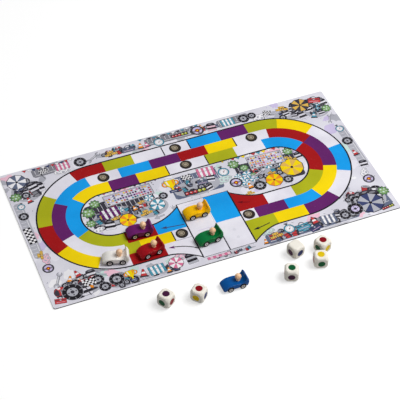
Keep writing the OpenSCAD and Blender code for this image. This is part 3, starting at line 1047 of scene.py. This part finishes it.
def carProfile():  # side outline, anticlockwise from under the nose
    hood, tail, belly = car["hood"], car["tail"], car["belly"]
    noseR = (car["noseLength"] ** 2 + car["noseDrop"] ** 2) / (2 * car["noseDrop"])
    scoopR, scoopZ = car["scoopRadius"], car["seat"] + car["scoopRadius"]
    rearR, rearZ = car["rearRadius"], car["rearHeight"]
    points = [(carHalf, belly)]
    noseTip = math.asin(1 - car["noseDrop"] / noseR)
    points += arc(carHalf - car["noseLength"], hood - noseR, noseR, noseTip, math.pi / 2, 24)
    rise, ridge = math.asin((hood - scoopZ) / scoopR), math.asin((tail - scoopZ) / scoopR)
    points += arc(driverX, scoopZ, scoopR, rise, -math.pi - ridge, 40)
    high, low = math.asin((tail - rearZ) / rearR), math.asin((belly - rearZ) / rearR)
    points += arc(rearR - carHalf, rearZ, rearR, math.pi - high, math.pi - low, 24)
    return points


def evenLoop(points, step):  # the same closed outline with evenly spaced points
    loop = [Vector(p) for p in points]
    lengths = [(loop[(k + 1) % len(loop)] - p).length for k, p in enumerate(loop)]
    count = round(sum(lengths) / step)
    gap, even, k, done = sum(lengths) / count, [], 0, 0.0
    for i in range(count):
        while done + lengths[k] < i * gap and k < len(loop) - 1:
            done += lengths[k]
            k += 1
        t = (i * gap - done) / max(lengths[k], 1e-9)
        even.append(loop[k].lerp(loop[(k + 1) % len(loop)], min(1.0, t)))
    return even


def softLoop(loop, step, sigma):  # rounds the corners of an even outline
    reach = math.ceil(3 * sigma / step)
    weights = {k: math.exp(-0.5 * (k * step / sigma) ** 2) for k in range(-reach, reach + 1)}
    total = sum(weights.values())
    soft = []
    for i in range(len(loop)):
        parts = (loop[(i + k) % len(loop)] * weight for k, weight in weights.items())
        soft.append(sum(parts, Vector((0, 0))) / total)
    return soft


def cellSides(mesh):  # cuts the flat sides into small cells
    reach, flatEnough = car["cellReach"] * mm, 0.999
    work = bmesh.new()
    work.from_mesh(mesh)
    for axis, level in ((0, -reach), (2, 0.0)):
        while level < reach:
            sides = [face for face in work.faces if abs(face.normal.y) > flatEnough]
            edges = {edge for face in sides for edge in face.edges}
            verts = {vert for face in sides for vert in face.verts}
            spot, way = Vector(), Vector()
            spot[axis], way[axis] = level, 1.0
            geometry = sides + list(edges) + list(verts)
            bmesh.ops.bisect_plane(work, geom=geometry, dist=1e-7, plane_co=spot, plane_no=way)
            level += car["cellStep"] * mm
    work.to_mesh(mesh)
    work.free()


def markEdges(mesh):  # per-point mark of how strongly the surface turns there
    least, span = 0.14, 0.25
    work = bmesh.new()
    work.from_mesh(mesh)
    values = []
    for vert in work.verts:
        sharpest = max((edge.calc_face_angle(0.0) for edge in vert.link_edges), default=0.0)
        values.append(min(1.0, max(0.0, (sharpest - least) / span)))
    work.free()
    mesh.attributes.new("edge", "FLOAT", "POINT").data.foreach_set("value", values)


def bodyMesh():
    step, plan = car["pointStep"], car["planRadius"]
    fine = softLoop(evenLoop(carProfile(), car["fineStep"]), car["fineStep"], car["cornerSoftness"])
    loop = evenLoop(fine, step)
    count, width = len(loop), car["width"] / 2
    inwards, bends = [], []
    for k, here in enumerate(loop):
        before, after = loop[k - 1], loop[(k + 1) % count]
        run = (after - before).normalized()
        turn = (here - before).normalized().cross((after - here).normalized())
        inwards.append(Vector((-run.y, run.x)))
        bends.append(min(car["edgeRadius"], 0.7 * step / max(turn, 1e-4)))
    rounds = bends[:2]
    rounds += [min(bends[(k + near) % count] for near in range(-2, 3)) for k in range(2, count)]
    rounding = [k * math.pi / 2 / car["edgeSteps"] for k in range(car["edgeSteps"] + 1)]
    rows = [(0, -y) for y in reversed(car["rows"])] + [(0, y) for y in car["rows"]]
    rows = [(-1, a) for a in reversed(rounding)] + rows + [(1, a) for a in rounding]
    work = bmesh.new()
    rings = []
    for side, value in rows:
        ring = []
        for p, inward, r in zip(loop, inwards, rounds):
            y = value
            if side:
                y = side * (width - r * (1 - math.sin(value)))
                p = p + inward * r * (1 - math.cos(value))
            over = max(0.0, abs(y) - (width - plan))
            inset = plan - math.sqrt(max(0.0, plan ** 2 - over ** 2))
            share = min(1.0, max(0.0, (abs(p.x) - car["planFrom"]) / (carHalf - car["planFrom"])))
            x = p.x - math.copysign(inset * share * share * (3 - 2 * share), p.x)
            ring.append(work.verts.new((x * mm, y * mm, p.y * mm)))
        rings.append(ring)
    for a, b in zip(rings, rings[1:]):
        for k in range(count):
            work.faces.new([a[k], a[(k + 1) % count], b[(k + 1) % count], b[k]])
    work.faces.new(rings[0][::-1])
    work.faces.new(rings[-1])
    bmesh.ops.recalc_face_normals(work, faces=work.faces)
    return meshFrom(work, "carBlank")


def cutWells(blank):  # the four round wheel wells
    work = bmesh.new()
    r, past = car["wellRadius"] * mm, 1.0
    deep = car["wellDepth"] + past
    for x in (rearX, rearX + car["wheelbase"]):
        for side in (-1, 1):
            middle = Vector((x, side * (car["width"] / 2 + past - deep / 2), car["hubHeight"])) * mm
            place = Matrix.Translation(middle) @ Matrix.Rotation(math.pi / 2, 4, "X")
            bmesh.ops.create_cone(
                work, cap_ends=True, segments=48, radius1=r, radius2=r, depth=deep * mm, matrix=place)
    body, cutter = addObject("carBlankWork", blank), addObject("wellWork", meshFrom(work, "wellCutter"))
    cut = body.modifiers.new("wells", "BOOLEAN")
    cut.operation, cut.solver, cut.object = "DIFFERENCE", "EXACT", cutter
    carved = evaluatedMesh(body)
    bpy.data.objects.remove(body)
    bpy.data.objects.remove(cutter)
    return carved


def latheMesh(profile):  # turned piece from (radius, height) pairs, closed at both ends
    work = bmesh.new()
    segments, rings = 48, []
    for r, z in profile:
        spots = [polar(r * mm, a) for a in turns(segments)] if r > 1e-6 else [(0, 0)]
        rings.append([work.verts.new((*spot, z * mm)) for spot in spots])
    for a, b in zip(rings, rings[1:]):
        for k in range(segments):
            n = (k + 1) % segments
            if len(a) == 1:
                work.faces.new([a[0], b[n], b[k]])
            elif len(b) == 1:
                work.faces.new([a[k], a[n], b[0]])
            else:
                work.faces.new([a[k], a[n], b[n], b[k]])
    bmesh.ops.recalc_face_normals(work, faces=work.faces)
    return meshFrom(work, "turned")


def driverMesh():  # ball head on a peg
    peg, head, soft = car["pegRadius"], car["headRadius"], car["pegRound"]
    base, middle = car["seat"] - car["pegDepth"], car["seat"] + car["headUp"]
    neck = math.acos(-math.sqrt(1 - (peg / head) ** 2)) - 0.1
    profile = [(0, base), (peg - soft, base), (peg, base + soft)]
    profile += [(peg, middle - head * 0.9), (peg * 0.93, middle - head * 0.84)]
    for k in range(car["headSteps"] + 1):
        a = neck * (1 - k / car["headSteps"])
        profile.append((head * math.sin(a), middle + head * math.cos(a)))
    return latheMesh(profile)


bodyBlank = cutWells(bodyMesh())
cellSides(bodyBlank)
markEdges(bodyBlank)
driverBlank = driverMesh()
print("car body:", len(bodyBlank.polygons), "faces")


def shapeTree(name, sizes, finishes):
    tree = bpy.data.node_groups.new(name, "GeometryNodeTree")
    for labels, kind in ((sizes, "NodeSocketFloat"), (finishes, "NodeSocketMaterial")):
        for label in labels:
            tree.interface.new_socket(label, in_out="INPUT", socket_type=kind)
    tree.interface.new_socket("Shape", in_out="OUTPUT", socket_type="NodeSocketGeometry")
    return tree, put(tree, "NodeGroupInput").outputs


def shifted(tree, geometry, values):
    return got(tree, "GeometryNodeTransform", {"Geometry": geometry, **values})


def painted(tree, geometry, finish, where=True):
    values = {"Geometry": geometry, "Selection": where, "Material": finish}
    return got(tree, "GeometryNodeSetMaterial", values)


def above(tree, value, level):
    return got(tree, "FunctionNodeCompare", {0: value, 1: level}, operation="GREATER_THAN")


def grow(tree, name, sizes, finishes):  # runs a tree once and returns its plain mesh
    values = {**{label: size * mm for label, size in sizes.items()}, **finishes}
    holder = addObject(name, bpy.data.meshes.new(name))
    made = holder.modifiers.new("build", "NODES")
    made.node_group = tree
    for item in tree.interface.items_tree:
        if item.in_out == "INPUT":
            made[item.identifier] = values[item.name]
    mesh = evaluatedMesh(holder)
    bpy.data.objects.remove(holder)
    while mesh.materials[0] is None:  # the empty mesh's own slot
        mesh.materials.pop(index=0)
    return mesh


wheel = {
    "Tyre Diameter": 12.0, "Rim Diameter": 7.4, "Hub Hole": 3.02, "Width": 4.6, "Dish": 0.6, "Span": 25.2,
    "Tyre Round": 0.8, "Rim Round": 0.25,
}
bead = {"inner": 0.72, "width": 0.9, "drop": 0.75}  # shares of the rim and of its dish


def wheelTree():
    tree, given = shapeTree("wheelPair", wheel, wheelFinishes)
    width, dish, rim = given["Width"], given["Dish"], given["Rim Diameter"]

    def ring(outer, inner, width, rounding):  # a solid ring round Z
        middle = times(tree, plus(tree, outer, inner), 0.25)
        wall = times(tree, minus(tree, outer, inner), 0.5)
        path = got(tree, "GeometryNodeCurvePrimitiveCircle", {"Resolution": 48, "Radius": middle})
        section = got(tree, "GeometryNodeCurvePrimitiveQuadrilateral", {"Width": wall, "Height": width})
        values = {"Curve": section, "Count": 4, "Radius": rounding, "Limit Radius": True}
        soft = got(tree, "GeometryNodeFilletCurve", values, mode="POLY")
        return got(tree, "GeometryNodeCurveToMesh", {"Curve": path, "Profile Curve": soft})

    def lifted(geometry, z):
        return shifted(tree, geometry, {"Translation": triple(tree, z=z)})
    tyreRing = ring(given["Tyre Diameter"], rim, width, given["Tyre Round"])
    rimRing = ring(rim, given["Hub Hole"], minus(tree, width, dish), given["Rim Round"])
    rimRing = lifted(rimRing, times(tree, dish, -0.5))
    beadInner = times(tree, rim, bead["inner"])
    beadRing = ring(rim, beadInner, times(tree, dish, bead["width"]), given["Rim Round"])
    beadRing = lifted(beadRing, minus(tree, times(tree, width, 0.5), times(tree, dish, bead["drop"])))
    whole = put(tree, "GeometryNodeJoinGeometry")
    for part in (tyreRing, rimRing, beadRing):
        tree.links.new(part, whole.inputs[0])
    reach = times(tree, minus(tree, given["Span"], width), 0.5)
    first, gap = triple(tree, z=reach), triple(tree, z=times(tree, reach, -2.0))
    ends = got(tree, "GeometryNodeMeshLine", {"Count": 2, "Start Location": first, "Offset": gap})
    half = times(tree, got(tree, "GeometryNodeInputIndex"), math.pi)
    facing = got(tree, "FunctionNodeEulerToRotation", {0: triple(tree, half)})
    values = {"Points": ends, "Instance": whole.outputs[0], "Rotation": facing}
    pair = got(tree, "GeometryNodeInstanceOnPoints", values)
    solid = got(tree, "GeometryNodeRealizeInstances", {0: pair})
    flat = vectors(tree, "MULTIPLY", got(tree, "GeometryNodeInputPosition"), (1.0, 1.0, 0.0))
    onTyre = above(tree, vectors(tree, "LENGTH", flat, output="Value"), times(tree, rim, 0.501))
    rims = painted(tree, solid, given["Rim Finish"])
    put(tree, "NodeGroupOutput", {0: painted(tree, rims, given["Tyre Finish"], onTyre)})
    return tree


wheelBlank = grow(wheelTree(), "wheelWork", wheel, wheelFinishes)
print("wheel pair:", len(wheelBlank.polygons), "faces", [finish.name for finish in wheelBlank.materials])


def placed(blank, name, matrix, finishes=(), degrees=38):
    mesh = blank.copy()
    mesh.name = name
    mesh.transform(matrix)
    mesh.shade_smooth()
    mesh.set_sharp_from_angle(angle=math.radians(degrees))
    return addObject(name, mesh, finishes)


for colour, heading in headings.items():
    ends = {end: Vector(joints[f"{colour}_car_{end}_spin"]["pos_m"]) for end in ("front", "rear")}
    ahead = Vector((math.cos(heading), math.sin(heading), 0))
    origin = ends["rear"] - ahead * rearX * mm - Vector((0, 0, car["hubHeight"] * mm))
    facing = Matrix.Rotation(heading, 4, "Z")
    stand = Matrix.Translation(origin) @ facing
    seat = stand @ Matrix.Translation((driverX * mm, 0, 0))
    body = placed(bodyBlank, colour + "_body", stand, [carFinishes[colour]])
    settle(body, colour + "_car", colour + "_car_body")
    driver = placed(driverBlank, colour + "_driver", seat, [headFinish])
    settle(driver, colour + "_car", colour + "_car_driver")
    for end, centre in ends.items():
        turned = Matrix.Translation(centre) @ facing @ Matrix.Rotation(-math.pi / 2, 4, "X")
        wheels = placed(wheelBlank, f"{colour}_{end}_wheels", turned)
        settle(wheels, f"{colour}_car_{end}_wheelset", f"{colour}_car_{end}_wheels")
        refinish(f"{colour}_car_{end}_axle", axleFinish)
print("cars done")

die = {"Side": 25.9, "Edge Radius": 4.5, "Ball Radius": 17.8, "Spot Radius": 6.7, "Spot Height": 0.05}
faceWays = {
    "red": (0, 0, 1), "green": (1, 0, 0), "yellow": (0, 1, 0), "purple": (0, -1, 0), "blue": (-1, 0, 0),
    "white": (0, 0, -1),
}
dice = {  # turn on the table, then the faces on top, at the left and at the right
    "die_1": (34, "purple", "green", "red"), "die_2": (43, "red", "yellow", "blue"),
    "die_3": (18, "white", "purple", "blue"), "die_4": (23, "red", "green", "yellow"),
    "die_5": (-16, "yellow", "red", "green"), "die_6": (-23, "green", "red", "purple"),
}


def dieTree():
    tree, given = shapeTree("colourDie", die, dieFinishes)
    side, spotRadius, edgeRadius = given["Side"], given["Spot Radius"], given["Edge Radius"]

    def even(value):
        return triple(tree, value, value, value)
    values = {"Size": even(side), "Vertices X": 30, "Vertices Y": 30, "Vertices Z": 30}
    cube = got(tree, "GeometryNodeMeshCube", values)
    place = got(tree, "GeometryNodeInputPosition")
    core = minus(tree, times(tree, side, 0.5), edgeRadius)
    inner = vectors(tree, "MAXIMUM", place, even(times(tree, core, -1.0)))
    inner = vectors(tree, "MINIMUM", inner, even(core))
    outward = vectors(tree, "NORMALIZE", vectors(tree, "SUBTRACT", place, inner))
    rounded = vectors(tree, "ADD", inner, vectors(tree, "MULTIPLY", outward, even(edgeRadius)))
    reach = vectors(tree, "LENGTH", rounded, output="Value")
    share = sums(tree, "MINIMUM", sums(tree, "DIVIDE", given["Ball Radius"], reach), 1.0)
    turned = vectors(tree, "MULTIPLY", rounded, even(share))
    block = got(tree, "GeometryNodeSetPosition", {"Geometry": cube, "Position": turned})
    block = got(tree, "GeometryNodeSetShadeSmooth", {"Geometry": block})
    whole = put(tree, "GeometryNodeJoinGeometry")
    tree.links.new(block, whole.inputs[0])
    dome = got(tree, "GeometryNodeMeshUVSphere", {"Segments": 40, "Rings": 12, "Radius": spotRadius})
    flat = triple(tree, 1.0, 1.0, sums(tree, "DIVIDE", given["Spot Height"], spotRadius))
    spot = shifted(tree, dome, {"Scale": flat})
    raised = shifted(tree, spot, {"Translation": triple(tree, z=times(tree, side, 0.5))})
    for colour in spotPaints:
        way = Vector(faceWays[colour]).to_track_quat("Z", "Y").to_euler()
        tree.links.new(shifted(tree, raised, {"Rotation": tuple(way)}), whole.inputs[0])
    solid = got(tree, "GeometryNodeRealizeInstances", {0: whole.outputs[0]})
    solid = painted(tree, solid, given["Wood Finish"])
    faceLevel = plus(tree, times(tree, side, 0.5), 1e-6)
    for colour in spotPaints:  # only a spot stands proud of its face
        level = vectors(tree, "DOT_PRODUCT", place, faceWays[colour], "Value")
        solid = painted(tree, solid, given[colour + " Finish"], above(tree, level, faceLevel))
    put(tree, "NodeGroupOutput", {0: solid})
    return tree


dieBlank = grow(dieTree(), "dieWork", die, dieFinishes)
markEdges(dieBlank)
print("die:", len(dieBlank.polygons), "faces", [finish.name for finish in dieBlank.materials])
for name, (turn, top, left, right) in dice.items():
    low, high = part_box(name)
    lie = Matrix((-Vector(faceWays[left]), -Vector(faceWays[right]), Vector(faceWays[top]))).to_4x4()
    stand = Matrix.Translation((low + high) / 2) @ Matrix.Rotation(math.radians(turn), 4, "Z") @ lie
    settle(placed(dieBlank, name + "_cube", stand, degrees=60), name, name)
print("dice done")

stage = {
    "size": 7.0, "drop": 0.0001, "floorShade": 0.55, "floorLift": 0.56, "lowLight": 0.08, "highLight": 0.41,
    "sideLight": 0.6, "keyPower": 78.6, "keyPlace": (1.6, -0.5, 2.6), "keySize": 2.2,
}
shot = {
    "place": (-0.6741, -1.6776, 1.8718), "aim": (-0.00375, 0.0289, 0.0), "lens": 123.11, "sensor": 36.0,
    "clipEnd": 50.0,
}


def seenRays(tree):  # rays that show the floor or the sky, rather than light a piece
    rays = put(tree, "ShaderNodeLightPath").outputs
    beyond = sums(tree, "MAXIMUM", rays["Is Glossy Ray"], rays["Is Transmission Ray"])
    return sums(tree, "MAXIMUM", rays["Is Camera Ray"], beyond)


def buildFloor():
    work = bmesh.new()
    bmesh.ops.create_grid(work, x_segments=1, y_segments=1, size=stage["size"])
    mesh = meshFrom(work, "floor")
    mesh.transform(Matrix.Translation((0, 0, -stage["drop"])))
    finish, tree = newFinish("studioFloor")
    shade = stage["floorShade"]
    matt = got(tree, "ShaderNodeBsdfDiffuse", {"Color": (shade, shade, shade, 1.0)})
    strength = times(tree, seenRays(tree), stage["floorLift"])
    lift = got(tree, "ShaderNodeEmission", {"Strength": strength})
    both = got(tree, "ShaderNodeAddShader", {0: matt, 1: lift})
    put(tree, "ShaderNodeOutputMaterial", {"Surface": both})
    return addObject("floor", mesh, [finish])


def buildSky():
    world = bpy.data.worlds.new("studio")
    bpy.context.scene.world = world
    world.use_nodes = True
    tree = world.node_tree
    tree.nodes.clear()
    seen = seenRays(tree)
    ways = axesOf(tree, put(tree, "ShaderNodeTexCoord").outputs["Generated"])
    values = {"Value": ways[2], "To Min": stage["lowLight"], "To Max": stage["highLight"]}
    rise = got(tree, "ShaderNodeMapRange", values)
    across = plus(tree, times(tree, ways[0], stage["sideLight"]), 1.0)
    dome = times(tree, rise, across)
    strength = got(tree, "ShaderNodeMapRange", {"Value": seen, "To Min": dome, "To Max": 1.0})
    sky = got(tree, "ShaderNodeBackground", {"Color": (1.0, 1.0, 1.0, 1.0), "Strength": strength})
    put(tree, "ShaderNodeOutputWorld", {"Surface": sky})


def aimed(name, data, place, aim=(0.0, 0.0, 0.0)):
    thing = addObject(name, data)
    thing.location = place
    thing.rotation_mode = "QUATERNION"
    thing.rotation_quaternion = (Vector(aim) - Vector(place)).to_track_quat("-Z", "Y")
    return thing


buildFloor()
buildSky()
key = bpy.data.lights.new("keyLight", "AREA")
key.shape, key.size, key.energy = "DISK", stage["keySize"], stage["keyPower"]
aimed("keyLight", key, stage["keyPlace"])
lens = bpy.data.cameras.new("camera")
lens.lens, lens.sensor_width, lens.clip_end = shot["lens"], shot["sensor"], shot["clipEnd"]
scene = bpy.context.scene
scene.camera = aimed("camera", lens, shot["place"], shot["aim"])
scene.view_settings.view_transform = "Standard"
